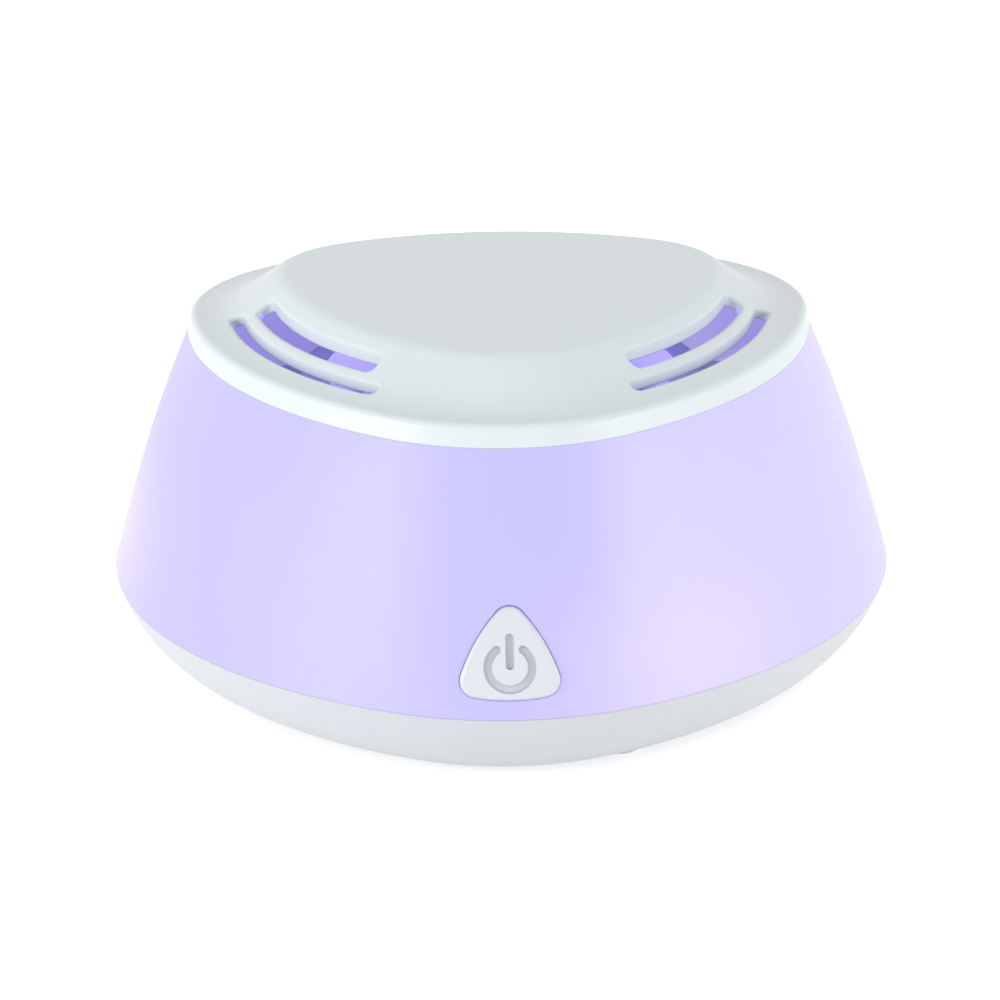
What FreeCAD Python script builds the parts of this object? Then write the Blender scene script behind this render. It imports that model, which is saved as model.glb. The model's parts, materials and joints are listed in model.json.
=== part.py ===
"""Fan-driven essential oil diffuser: a rounded-triangle base, a translucent shade, and a vented lid.

Millimetres, +Z up, front (the power button) towards -Y. The origin is under the middle of the
object's box, on the surface that it stands on. The three-fold axis of the outline is a little
behind that point, because a rounded triangle reaches further at its corner than at its side.
"""
import FreeCAD, Part
import math
import os
import Sketcher

Vector = FreeCAD.Vector
Rotation = FreeCAD.Rotation
Placement = FreeCAD.Placement

SIZES = {
    # Levels above the surface that the diffuser stands on
    "floor_level": 1.5,
    "joint_level": 12.5,
    "lid_level": 49.9,
    "rim_level": 53.3,
    "plateau_level": 59.6,
    # Outline of the base: centres of the corner arcs and of the side arcs from the axis
    "base_corner": 24.0,
    "base_side": 16.6,
    "base_radius": 41.2,
    "base_foot_radius": 32.2,
    "base_wall": 2.2,
    "base_bulge_radius": 19.0,
    "tongue_inset": 3.5,
    "tongue_wall": 1.3,
    "tongue_rise": 2.6,
    "tongue_root": 1.6,
    "floor_step": 0.8,
    "relief_width": 25.0,
    "relief_depth": 9.0,
    "intake_count": 18,
    "intake_start": 9.0,
    "intake_length": 12.0,
    "intake_width": 2.2,
    # Outline of the lid and of the shade's upper edge
    "lid_corner": 20.7,
    "lid_side": 27.7,
    "lid_radius": 31.6,
    "lid_lean": 0.4,
    "lid_wall": 1.7,
    "lid_edge": 1.1,
    "ledge_width": 2.4,
    "slope_blend": 12.0,
    "slope_angle": 36.0,
    "plateau_edge": 4.0,
    "skirt_inset": 2.5,
    "skirt_wall": 1.3,
    "skirt_drop": 3.0,
    # Shade
    "shade_wall": 2.0,
    "shade_bulge": 0.95,
    # Outlet slots: arcs about a centre on the far side of the axis
    "slot_centre": 22.0,
    "slot_outer_reach": 61.95,
    "slot_outer_width": 1.95,
    "slot_outer_half": 21.4,
    "slot_outer_corner": 0.85,
    "slot_inner_reach": 57.95,
    "slot_inner_width": 2.4,
    "slot_inner_half": 18.3,
    "slot_inner_corner": 1.0,
    "slot_lip": 0.7,
    # Power button, in a plane that leans with the shade
    "lean": 17.5,
    "button_level": 20.9,
    "button_corner": 5.6,
    "button_side": 22.0,
    "button_radius": 2.5,
    "button_gap": 0.1,
    "button_crown": 0.55,
    "button_dome": 60.0,
    "button_depth": 3.9,
    "button_edge": 0.7,
    "flange_width": 16.6,
    "flange_height": 15.2,
    "flange_rise": 1.1,
    "flange_depth": 1.0,
    "stem_radius": 2.0,
    "stem_length": 3.4,
    "stem_clearance": 0.05,
    "press_travel": 0.5,
    "symbol_outer": 3.8,
    "symbol_inner": 2.65,
    "symbol_depth": 0.5,
    "symbol_drop": 0.9,
    "symbol_gap_half": 36.5,
    "symbol_bar_foot": -0.3,
    "symbol_bar_top": 4.9,
    "guide_width": 20.0,
    "guide_height": 14.0,
    "guide_rise": 1.0,
    "guide_thick": 1.6,
    "guide_collar": 3.6,
    "ear_top": -3.45,
    "ear_height": 10.0,
    "ear_thick": 1.4,
    "board_leg": 1.2,
    "button_board_width": 17.0,
    "button_board_height": 15.0,
    "switch_size": 6.0,
    "switch_depth": 3.5,
    "plunger_radius": 1.7,
    "plunger_length": 1.0,
    "board_thick": 1.2,
    # Chassis deck and its legs
    "deck_corner": 22.2,
    "deck_side": 22.7,
    "deck_radius": 33.6,
    "deck_level": 32.0,
    "deck_thick": 2.0,
    "deck_hole": 24.5,
    "leg_reach": 31.0,
    "leg_radius": 3.5,
    "boss_radius": 4.0,
    "boss_level": 8.0,
    "post_radius": 1.3,
    "post_half_pitch": 11.5,
    "board_post_radius": 1.5,
    "board_lift": 1.2,
    "screw_recess": 2.0,
    "screw_radius": 1.5,
    "screw_length": 14.0,
    "head_radius": 2.7,
    "head_height": 1.6,
    "fan_screw_radius": 1.3,
    "fan_screw_bite": 1.6,
    "fan_head_radius": 2.4,
    "fan_head_height": 1.4,
    "collar_gap": 0.4,
    "collar_wall": 1.4,
    "collar_height": 3.2,
    # Pad tray and scent pad
    "tray_radius": 29.0,
    "tray_wall": 1.4,
    "tray_floor": 1.2,
    "tray_height": 12.0,
    "tray_rim": 2.4,
    "tray_rim_thick": 1.2,
    "tray_slot_count": 14,
    "tray_slot_start": 7.0,
    "tray_slot_end": 22.0,
    "tray_slot_half": 1.1,
    "tray_slot_round": 1.4,
    "pad_radius": 26.0,
    "pad_thick": 4.2,
    "pad_edge": 0.8,
    # Fan
    "fan_size": 50.0,
    "fan_height": 10.0,
    "fan_bore": 24.3,
    "fan_pitch": 20.0,
    "fan_corner": 3.5,
    "strut_thick": 1.2,
    "strut_width": 2.6,
    "strut_length": 13.5,
    "bearing_radius": 3.2,
    "bearing_wall": 1.0,
    "bearing_lift": 3.0,
    "bearing_length": 4.6,
    "hub_radius": 12.0,
    "hub_wall": 1.0,
    "hub_height": 7.6,
    "blade_reach": 23.5,
    "blade_count": 7,
    "blade_pitch": 36.0,
    "blade_length": 14.0,
    "blade_chord": 11.0,
    "blade_thick": 1.1,
    "magnet_thick": 0.9,
    "magnet_height": 5.0,
    "core_lift": 3.6,
    "core_height": 2.4,
    "core_wall": 1.4,
    "arm_count": 6,
    "arm_length": 4.2,
    "arm_width": 1.4,
    "winding_length": 2.2,
    "winding_width": 2.8,
    "winding_height": 3.4,
    "shaft_radius": 1.5,
    "shaft_clearance": 0.05,
    # Duct, cells, boards, inlet and feet
    "duct_radius": 24.6,
    "duct_wall": 1.2,
    "cell_radius": 7.1,
    "cell_length": 50.0,
    "cell_reach": 34.0,
    "cell_lift": 0.7,
    "cell_edge": 0.6,
    "saddle_width": 14.6,
    "saddle_length": 44.0,
    "saddle_height": 4.4,
    "tab_width": 5.0,
    "tab_thick": 0.3,
    "tab_height": 8.0,
    "main_width": 19.0,
    "main_length": 23.0,
    "main_reach": 38.5,
    "inlet_width": 8.94,
    "inlet_height": 3.26,
    "inlet_depth": 10.0,
    "inlet_mouth": 56.5,
    "inlet_corner": 1.5,
    "inlet_wall": 0.3,
    "inlet_gap": 0.3,
    "inlet_tongue_width": 6.7,
    "inlet_tongue_length": 6.5,
    "inlet_tongue_thick": 0.7,
    "strip_reach": 51.0,
    "strip_length": 28.0,
    "strip_width": 4.0,
    "strip_level": 10.0,
    "lamp_width": 2.8,
    "lamp_length": 3.5,
    "lamp_height": 1.6,
    "lamp_pitch": 9.0,
    "foot_reach": 49.0,
    "foot_radius": 3.2,
    "foot_recess": 0.8,
    "foot_edge": 0.9,
    "foot_angle": -70.0,
}


class Size:
    """A number that keeps the spreadsheet expression it comes from."""

    def __init__(self, value, text):
        self.value = float(value)
        self.text = text

    def __add__(self, other):
        return Size(self.value + value_of(other), f"({self.text} + {text_of(other)})")

    def __radd__(self, other):
        return self + other

    def __sub__(self, other):
        return Size(self.value - value_of(other), f"({self.text} - {text_of(other)})")

    def __rsub__(self, other):
        return Size(value_of(other) - self.value, f"({text_of(other)} - {self.text})")

    def __mul__(self, other):
        return Size(self.value * value_of(other), f"({self.text} * {text_of(other)})")

    def __rmul__(self, other):
        return self * other

    def __truediv__(self, other):
        return Size(self.value / value_of(other), f"({self.text} / {text_of(other)})")

    def __neg__(self):
        return Size(-self.value, f"(0 - {self.text})")


def value_of(size):
    return size.value if isinstance(size, Size) else float(size)


def text_of(size):
    return size.text if isinstance(size, Size) else f"({float(size):.6f})"


def root(size):
    return Size(math.sqrt(size.value), f"sqrt({size.text})")


def cosine(degrees):
    return Size(math.cos(math.radians(value_of(degrees))), f"cos({text_of(degrees)} * 1 deg)")


def sine(degrees):
    return Size(math.sin(math.radians(value_of(degrees))), f"sin({text_of(degrees)} * 1 deg)")


def arc_tangent(ratio):
    return Size(math.degrees(math.atan(ratio.value)), f"(atan({ratio.text}) / 1 deg)")


def arc_sine(ratio):
    return Size(math.degrees(math.asin(ratio.value)), f"(asin({ratio.text}) / 1 deg)")


doc = FreeCAD.newDocument("diffuser")
sheet = doc.addObject("Spreadsheet::Sheet", "Sizes")
for row, (alias, number) in enumerate(SIZES.items(), start=1):
    sheet.set(f"A{row}", alias)
    sheet.set(f"B{row}", str(number))
    sheet.setAlias(f"B{row}", alias)
doc.recompute()


def size(alias):
    return Size(sheet.get(alias), f"Sizes.{alias}")


def bind(item, name, amount):
    """Give a property its value, and its spreadsheet expression where it has one."""
    if isinstance(amount, Size):
        item.setExpression(name, amount.text)
    else:
        setattr(item, name, amount)


# How far solids that are joined run into each other
SINK = 0.2


# ---------------------------------------------------------------- outline arithmetic

def side_arc_radius(corner, side, radius):
    """Radius of the long side arcs that touch all three corner arcs."""
    return root(corner * corner + side * side + corner * side) + radius


def corner_half_angle(corner, side):
    """Half of the angle that each corner arc turns through, in degrees."""
    return arc_tangent((corner * 0.5 + side) / (corner * cosine(30))) - 30


BASE_CORNER = size("base_corner")
BASE_SIDE = size("base_side")
AXIS_Y = (BASE_CORNER + BASE_SIDE - side_arc_radius(BASE_CORNER, BASE_SIDE, 0)) * 0.5
FLOOR = size("floor_level")
FLOOR_TOP = FLOOR + size("base_wall")
JOINT = size("joint_level")
LID_LEVEL = size("lid_level")
DECK = size("deck_level")
DECK_TOP = DECK + size("deck_thick")
FAN_BOTTOM = DECK - size("fan_height")

parts = {}


def keep(item, node):
    """Name an object as a finished sub-part."""
    item.Label = node
    parts[node] = item
    return item


# ---------------------------------------------------------------- primitives and booleans

def settle(item, x, y, z, turn=Rotation()):
    """Place a primitive by its own corner or lower centre, measured from the diffuser's axis."""
    spot = (x, y + AXIS_Y, z)
    item.Placement = Placement(Vector(*[value_of(amount) for amount in spot]), turn)
    for axis, amount in zip("xyz", spot):
        if isinstance(amount, Size):
            item.setExpression(f"Placement.Base.{axis}", amount.text)
    return item


def box(name, length, width, height, x=0.0, y=0.0, z=0.0):
    """A box centred on x and y, standing on z."""
    item = doc.addObject("Part::Box", name)
    bind(item, "Length", length)
    bind(item, "Width", width)
    bind(item, "Height", height)
    return settle(item, x - length * 0.5, y - width * 0.5, z)


def cylinder(name, radius, height, x=0.0, y=0.0, z=0.0, turn=Rotation()):
    """An upright cylinder standing on z, or turned about its lower centre."""
    item = doc.addObject("Part::Cylinder", name)
    bind(item, "Radius", radius)
    bind(item, "Height", height)
    return settle(item, x, y, z, turn)


def cut(name, base, *tools):
    for number, tool in enumerate(tools, start=1):
        last = number == len(tools)
        item = doc.addObject("Part::Cut", name if last else f"{name}_step_{number}")
        item.Base = base
        item.Tool = tool
        base = item
    return base


def fuse(name, *items):
    item = doc.addObject("Part::MultiFuse", name)
    item.Shapes = list(items)
    item.Refine = True
    return item


def group(name, *items):
    """Several separate solids of one kind, kept as one sub-part."""
    item = doc.addObject("Part::Compound", name)
    item.Links = list(items)
    return item


def tube(name, outer, inner, height, x=0.0, y=0.0, z=0.0):
    return cut(name, cylinder(f"{name}_outer", outer, height, x, y, z),
               cylinder(f"{name}_inner", inner, height, x, y, z))


def rounded(name, base, radius, wanted):
    """Fillet the edges of a base for which wanted(edge) is true."""
    doc.recompute()
    chosen = [number for number, edge in enumerate(base.Shape.Edges, start=1) if wanted(edge)]
    item = doc.addObject("Part::Fillet", name)
    item.Base = base
    item.Edges = [(number, value_of(radius), value_of(radius)) for number in chosen]
    return item


# ---------------------------------------------------------------- bodies and sketches

def new_body(name):
    body = doc.addObject("PartDesign::Body", name)
    bind(body, "Placement.Base.y", AXIS_Y)
    return body


def plane_of(body, role):
    return next(item for item in body.Origin.OriginFeatures if item.Role == role)


def new_sketch(body, name, role="XY_Plane", offset=None, lifts=()):
    """A sketch on one of the body's own planes. lifts are (offset property, size) pairs."""
    sketch = body.newObject("Sketcher::SketchObject", name)
    sketch.AttachmentSupport = [(plane_of(body, role), "")]
    sketch.MapMode = "FlatFace"
    if offset is not None:
        sketch.AttachmentOffset = offset
    for axis, amount in lifts:
        bind(sketch, f"AttachmentOffset.Base.{axis}", amount)
    return sketch


def hold(sketch, kind, *where, to):
    """Add a dimension that follows the spreadsheet."""
    radians = kind == "Angle"
    number = math.radians(value_of(to)) if radians else value_of(to)
    index = sketch.addConstraint(Sketcher.Constraint(kind, *where, number))
    if isinstance(to, Size):
        sketch.setExpression(f"Constraints[{index}]", f"{to.text} * 1 deg" if radians else to.text)


def pin_point(sketch, element, end, x, y):
    """Fix one end of an element at x, y from the sketch's origin."""
    if value_of(x) == 0:
        sketch.addConstraint(Sketcher.Constraint("PointOnObject", element, end, -2))
    else:
        hold(sketch, "DistanceX", -1, 1, element, end, to=x)
    if value_of(y) == 0:
        sketch.addConstraint(Sketcher.Constraint("PointOnObject", element, end, -1))
    else:
        hold(sketch, "DistanceY", -1, 1, element, end, to=y)


def arc(centre_x, centre_y, radius, start, end):
    circle = Part.Circle(Vector(value_of(centre_x), value_of(centre_y), 0), Vector(0, 0, 1),
                         value_of(radius))
    return Part.ArcOfCircle(circle, math.radians(value_of(start)), math.radians(value_of(end)))


def draw_triangle(sketch, corner, side, radius, first=-90):
    """A rounded triangle of six arcs that meet without a corner. first is a corner's direction."""
    side_radius = side_arc_radius(corner, side, radius)
    half = corner_half_angle(corner, side)
    for number in range(3):
        at = first + 120 * number
        mid = at + 60
        sketch.addGeometry(arc(corner * cosine(at), corner * sine(at), radius, at - half, at + half))
        sketch.addGeometry(arc(-side * cosine(mid), -side * sine(mid), side_radius,
                               at + half, at + 120 - half))
    for number in range(6):
        sketch.addConstraint(Sketcher.Constraint("Tangent", number, 2, (number + 1) % 6, 1))
    for number in range(3):
        at = first + 120 * number
        along = corner * cosine(at)
        if abs(along.value) < 1e-6:
            along = 0
        pin_point(sketch, 2 * number, 3, along, corner * sine(at))
        hold(sketch, "Radius", 2 * number, to=radius)
        hold(sketch, "Radius", 2 * number + 1, to=side_radius)


def draw_profile(sketch, points):
    """A closed outline. Each point is (x, y) or (x, y, radius): with a radius, the edge that
    leaves the point is an arc that bulges to its left when the radius is above 0."""
    count = len(points)
    for number, point in enumerate(points):
        after = points[(number + 1) % count]
        start = Vector(value_of(point[0]), value_of(point[1]), 0)
        end = Vector(value_of(after[0]), value_of(after[1]), 0)
        if len(point) == 2:
            sketch.addGeometry(Part.LineSegment(start, end))
            continue
        reach = abs(value_of(point[2]))
        sign = 1 if value_of(point[2]) > 0 else -1
        chord = end - start
        left = Vector(-chord.y, chord.x, 0).normalize()
        back = math.sqrt(reach ** 2 - (chord.Length / 2) ** 2)
        centre = (start + end) * 0.5 - left * sign * back
        first, last = (end, start) if sign > 0 else (start, end)
        turns = [math.degrees(math.atan2(spot.y - centre.y, spot.x - centre.x)) for spot in (first, last)]
        if turns[1] < turns[0]:
            turns[1] += 360
        sketch.addGeometry(arc(centre.x, centre.y, reach, *turns))
    ends = []
    for number, point in enumerate(points):
        counter = len(point) == 3 and value_of(point[2]) > 0
        ends.append((2, 1) if counter else (1, 2))
    for number in range(count):
        after = (number + 1) % count
        sketch.addConstraint(Sketcher.Constraint(
            "Coincident", number, ends[number][1], after, ends[after][0]))
    for number, point in enumerate(points):
        pin_point(sketch, number, ends[number][0], point[0], point[1])
        if len(point) == 3:
            bulge = point[2] if value_of(point[2]) > 0 else -point[2]
            hold(sketch, "Radius", number, to=bulge)


def feature(body, kind, name, **settings):
    item = body.newObject(kind, name)
    for key, value in settings.items():
        setattr(item, key, value)
    return item


def turned_triangle(body, name, corner, side, radius, profile):
    """Sweep a wall profile round a rounded triangle: each arc of the outline is a revolution.

    profile(reach) gives the section's points, where reach is the outline's distance from the
    axis of the arc that the section turns about.
    """
    half = corner_half_angle(corner, side)
    side_radius = side_arc_radius(corner, side, radius)
    sectors = (("corner", -corner, radius, half * 2, 180), ("side", -side, side_radius, 120 - half * 2, 0))
    turned = []
    for part_name, centre, reach, angle, heading in sectors:
        turn = Rotation(Vector(0, 1, 0), heading)
        sketch = new_sketch(body, f"{name}_{part_name}_profile", "YZ_Plane",
                            Placement(Vector(0, 0, 0), turn), [("x", centre)])
        draw_profile(sketch, profile(reach))
        turned.append(feature(body, "PartDesign::Revolution", f"{name}_{part_name}",
                              Profile=sketch, ReferenceAxis=(sketch, ["V_Axis"]), Midplane=True))
        bind(turned[-1], "Angle", angle)
    pattern = feature(body, "PartDesign::PolarPattern", f"{name}_round", Originals=turned,
                      Axis=(plane_of(body, "Z_Axis"), [""]), Angle=360, Occurrences=3, Refine=True)
    body.Tip = pattern
    return pattern


# ---------------------------------------------------------------- base shell

def base_profile(reach):
    """The bowl's wall and floor, with the upright tongue that the shade fits over."""
    foot = reach - (size("base_radius") - size("base_foot_radius"))
    tongue = reach - size("tongue_inset")
    inside = tongue - size("tongue_wall")
    return [
        (0, FLOOR),
        (foot, FLOOR, -size("base_bulge_radius")),
        (reach, JOINT),
        (tongue, JOINT),
        (tongue, JOINT + size("tongue_rise")),
        (inside, JOINT + size("tongue_rise")),
        (inside, JOINT - size("tongue_root")),
        (foot - size("floor_step"), FLOOR_TOP),
        (0, FLOOR_TOP),
    ]


SCREW_SEAT = FLOOR + size("screw_recess")


def leg_spots():
    reach = size("leg_reach")
    return [(reach, reach), (-reach, reach), (-reach, -reach), (reach, -reach)]


def foot_spots():
    reach = size("foot_reach")
    turns = [size("foot_angle") + 120 * number for number in range(3)]
    return [(reach * cosine(turn), reach * sine(turn)) for turn in turns]


def strip_posts():
    """Two posts under each light strip, at the middle of each side."""
    spots = []
    for middle in (-30, 90, 210):
        for along in (-size("post_half_pitch"), size("post_half_pitch")):
            reach = size("strip_reach")
            spots.append((reach * cosine(middle) - along * sine(middle),
                          reach * sine(middle) + along * cosine(middle)))
    return spots


BOARD_FOOT = FLOOR_TOP + size("board_lift")
INLET_LEVEL = BOARD_FOOT + size("board_thick") + size("inlet_height") * 0.5


def board_posts():
    """Four posts under the main board."""
    half = size("main_width") * 0.5 - 2.5
    reach = size("main_reach")
    return [(x, reach + y) for x in (half, -half) for y in (-8.5, 7.5)]


def make_base():
    body = new_body("base_bowl")
    turned_triangle(body, "bowl", BASE_CORNER, BASE_SIDE, size("base_radius"), base_profile)
    rooted = FLOOR_TOP - SINK
    solids = [body]
    for number, (x, y) in enumerate(leg_spots()):
        solids.append(cylinder(f"leg_boss_{number}", size("boss_radius"), size("boss_level") - rooted,
                               x, y, rooted))
    for number, (x, y) in enumerate(strip_posts()):
        solids.append(cylinder(f"strip_post_{number}", size("post_radius"), size("strip_level") - rooted,
                               x, y, rooted))
    for number, (x, y) in enumerate(board_posts()):
        solids.append(cylinder(f"board_post_{number}", size("board_post_radius"), BOARD_FOOT - rooted,
                               x, y, rooted))
    tools = []
    for number, (x, y) in enumerate(leg_spots()):
        tools.append(cylinder(f"screw_hole_{number}", size("screw_radius"), JOINT, x, y, 0))
        tools.append(cylinder(f"head_recess_{number}", size("head_radius") + 0.3, size("screw_recess"),
                              x, y, FLOOR))
    for number, (x, y) in enumerate(foot_spots()):
        tools.append(cylinder(f"foot_recess_{number}", size("foot_radius"), size("foot_recess"), x, y, FLOOR))
    start, width = size("intake_start"), size("intake_width")
    count = int(size("intake_count").value)
    for number in range(count):
        turn = number * 360 / count
        slot = doc.addObject("Part::Box", f"intake_slot_{number}")
        bind(slot, "Length", size("intake_length"))
        bind(slot, "Width", width)
        bind(slot, "Height", FLOOR_TOP * 1.5)
        settle(slot, start * cosine(turn) + width * 0.5 * sine(turn),
               start * sine(turn) - width * 0.5 * cosine(turn), 0.0, Rotation(Vector(0, 0, 1), turn))
        tools.append(slot)
    gap = size("inlet_gap")
    tools.append(box("inlet_window", size("inlet_width") + gap * 2, 16, size("inlet_height") + gap * 2,
                     0, 54, INLET_LEVEL - size("inlet_height") * 0.5 - gap))
    front = size("relief_depth") * 0.5 - BASE_CORNER - size("base_radius")
    tools.append(box("button_relief", size("relief_width"), size("relief_depth"), size("tongue_rise") + 1,
                     0, front, JOINT))
    return keep(cut("base_shell", fuse("base_with_posts", *solids), fuse("base_cuts", *tools)), "base_shell")


# ---------------------------------------------------------------- shade

def shade_along():
    """How far up the shade the button's centre is, from 0 at the joint to 1 at the lid."""
    return (size("button_level") - JOINT) / (LID_LEVEL - JOINT)


def button_reach():
    """Distance from the axis to the shade's front face at the button's centre."""
    low = BASE_CORNER + size("base_radius")
    high = size("lid_corner") + size("lid_radius")
    along = shade_along()
    return low + (high - low) * along + size("shade_bulge") * along * (1 - along) * 4


def shade_sections(body, name, wall):
    """Three level outlines: the joint, the bulge half-way up, and the upper edge."""
    half = 0.5
    levels = (
        (JOINT, BASE_CORNER, BASE_SIDE, size("base_radius")),
        ((JOINT + LID_LEVEL) * half, (BASE_CORNER + size("lid_corner")) * half,
         (BASE_SIDE + size("lid_side")) * half,
         (size("base_radius") + size("lid_radius")) * half + size("shade_bulge")),
        (LID_LEVEL, size("lid_corner"), size("lid_side"), size("lid_radius")),
    )
    sketches = []
    for number, (level, corner, side, radius) in enumerate(levels):
        sketch = new_sketch(body, f"{name}_outline_{number}", lifts=[("z", level)])
        draw_triangle(sketch, corner, side, radius - wall)
        sketches.append(sketch)
    return sketches


def make_shade():
    body = new_body("shade_body")
    outside = shade_sections(body, "outer", 0)
    feature(body, "PartDesign::AdditiveLoft", "shade_outside", Profile=outside[0], Sections=outside[1:])
    inside = shade_sections(body, "inner", size("shade_wall"))
    feature(body, "PartDesign::SubtractiveLoft", "shade_inside", Profile=inside[0], Sections=inside[1:])
    doc.recompute()
    solid = body.Shape.Volume
    window = new_sketch(body, "button_window", "XZ_Plane",
                        Placement(Vector(0, 0, 0), Rotation(Vector(1, 0, 0), -value_of(size("lean")))),
                        [("y", size("button_level")), ("z", button_reach())])
    draw_triangle(window, size("button_corner"), size("button_side"),
                  size("button_radius") + size("button_gap"), 90)
    pocket = feature(body, "PartDesign::Pocket", "button_opening", Profile=window, Type="Length")
    pocket.SideType = "Symmetric"
    pocket.Length = 16
    doc.recompute()
    if not 200 < solid - body.Shape.Volume < 500:
        raise ValueError(f"button opening took {solid - body.Shape.Volume:.1f} cubic mm")
    return keep(body, "shade")


# ---------------------------------------------------------------- lid

def lid_profile(reach):
    """Rim band, narrow ledge, concave blend, slope and plateau, with the skirt below."""
    wall = size("lid_wall")
    top = size("plateau_level")
    rim = size("rim_level")
    angle = size("slope_angle")
    edge = size("lid_edge")
    blend = size("slope_blend")
    crest = size("plateau_edge")
    shoulder = reach - size("lid_lean")
    blend_from = reach - size("ledge_width")
    straight = (top - rim - (blend + crest) * (1 - cosine(angle))) * cosine(angle) / sine(angle)
    brow = blend_from - (blend + crest) * sine(angle) - straight
    skirt = reach - size("skirt_inset")
    skirt_inner = skirt - size("skirt_wall")
    skirt_foot = LID_LEVEL - size("skirt_drop")
    across = blend_from - skirt_inner
    skirt_top = rim + blend - root((blend + wall) * (blend + wall) - across * across)
    return [
        (reach, LID_LEVEL),
        (shoulder, rim - edge, -edge),
        (shoulder - edge, rim),
        (blend_from, rim, blend),
        (blend_from - blend * sine(angle), rim + blend * (1 - cosine(angle))),
        (brow + crest * sine(angle), top - crest * (1 - cosine(angle)), -crest),
        (brow, top),
        (0, top),
        (0, top - wall),
        (brow, top - wall, crest - wall),
        (brow + (crest - wall) * sine(angle), top - crest + (crest - wall) * cosine(angle)),
        (blend_from - (blend + wall) * sine(angle), rim + blend - (blend + wall) * cosine(angle),
         -(blend + wall)),
        (skirt_inner, skirt_top),
        (skirt_inner, skirt_foot),
        (skirt, skirt_foot),
        (skirt, LID_LEVEL),
    ]


SLOT_SIZES = ("reach", "width", "half", "corner")


def draw_slot(sketch, outer, width, half, corner):
    """A slot between two arcs at the back of the lid, with rounded radial ends."""
    side = size("slot_centre")
    inner = outer - width
    outer_step = arc_sine(corner / (outer - corner))
    inner_step = arc_sine(corner / (inner + corner))
    outer_end = root((outer - corner) * (outer - corner) - corner * corner)
    inner_end = root((inner + corner) * (inner + corner) - corner * corner)

    def spot(radius, turn):
        return radius * cosine(turn), radius * sine(turn) - side

    def line(turn, start, end):
        ends = [Vector(value_of(x), value_of(y), 0) for x, y in (spot(start, turn), spot(end, turn))]
        sketch.addGeometry(Part.LineSegment(*ends))

    left, right = 90 + half, 90 - half
    outer_left, outer_right = left - outer_step, right + outer_step
    inner_left, inner_right = left - inner_step, right + inner_step
    sketch.addGeometry(arc(0, -side, outer, outer_right, outer_left))
    sketch.addGeometry(arc(*spot(outer - corner, outer_left), corner, outer_left, left + 90))
    line(left, outer_end, inner_end)
    sketch.addGeometry(arc(*spot(inner + corner, inner_left), corner, left + 90, inner_left + 180))
    sketch.addGeometry(arc(0, -side, inner, inner_right, inner_left))
    sketch.addGeometry(arc(*spot(inner + corner, inner_right), corner, inner_right + 180, right + 270))
    line(right, inner_end, outer_end)
    sketch.addGeometry(arc(*spot(outer - corner, outer_right), corner, right - 90, outer_right))
    leaving = [2, 2, 2, 2, 1, 2, 2, 2]
    arriving = [1, 1, 1, 1, 2, 1, 1, 1]
    for number in range(8):
        after = (number + 1) % 8
        sketch.addConstraint(Sketcher.Constraint(
            "Tangent", number, leaving[number], after, arriving[after]))
    pin_point(sketch, 0, 3, 0, -side)
    sketch.addConstraint(Sketcher.Constraint("Coincident", 0, 3, 4, 3))
    for element, turn in ((2, left + 180), (6, right)):
        sketch.addConstraint(Sketcher.Constraint("PointOnObject", 0, 3, element))
        hold(sketch, "Angle", element, to=turn)
    for element, radius in ((0, outer), (4, inner), (1, corner), (3, corner), (5, corner), (7, corner)):
        hold(sketch, "Radius", element, to=radius)


def make_lid():
    body = new_body("lid_body")
    turned_triangle(body, "cap", size("lid_corner"), size("lid_side"), size("lid_radius"), lid_profile)
    slots = []
    for name in ("outer", "inner"):
        sketch = new_sketch(body, f"{name}_slot_outline", lifts=[("z", size("plateau_level") + 2)])
        draw_slot(sketch, *[size(f"slot_{name}_{what}") for what in SLOT_SIZES])
        slots.append(feature(body, "PartDesign::Pocket", f"{name}_slot", Profile=sketch, Length=14))
    doc.recompute()
    base = feature(body, "PartDesign::PolarPattern", "slots_round", Originals=slots,
                   Axis=(plane_of(body, "Z_Axis"), [""]), Angle=360, Occurrences=3)
    body.Tip = base
    doc.recompute()
    lips = [f"Edge{number}" for number, edge in enumerate(base.Shape.Edges, start=1) if slot_rim(edge)]
    lip = feature(body, "PartDesign::Fillet", "slot_lips", Base=(base, lips))
    bind(lip, "Radius", size("slot_lip"))
    return keep(body, "lid")


def side_inset(spot):
    """How far a point of the lid's own frame is inside the nearest side arc of its outline."""
    side = size("lid_side").value
    reach = side_arc_radius(size("lid_corner"), size("lid_side"), size("lid_radius")).value
    return min(reach - math.hypot(spot.x + side * math.cos(math.radians(at)),
                                  spot.y + side * math.sin(math.radians(at)))
               for at in (-30, 90, 210))


def on_slot_outline(spot):
    """True for a point that is on the outline of a slot, in plan."""
    centre = size("slot_centre").value
    for at in (-30, 90, 210):
        x = spot.x + centre * math.cos(math.radians(at))
        y = spot.y + centre * math.sin(math.radians(at))
        reach = math.hypot(x, y)
        turn = abs((math.degrees(math.atan2(y, x)) - at + 180) % 360 - 180)
        for name in ("outer", "inner"):
            outer, width, half, corner = [size(f"slot_{name}_{what}").value for what in SLOT_SIZES]
            inside = min(outer - reach, reach - outer + width, reach * math.radians(half - turn))
            if -0.01 < inside < 0.3 * corner:
                return True
    return False


def slot_rim(edge):
    """True for the edges round the upper mouths of the slots."""
    span = edge.LastParameter - edge.FirstParameter
    spots = [edge.valueAt(edge.FirstParameter + part * span) for part in (0, 0.5, 1)]
    return all(on_slot_outline(spot) and abs(spot.z - lid_surface(side_inset(spot))) < 0.02
               for spot in spots)


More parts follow.
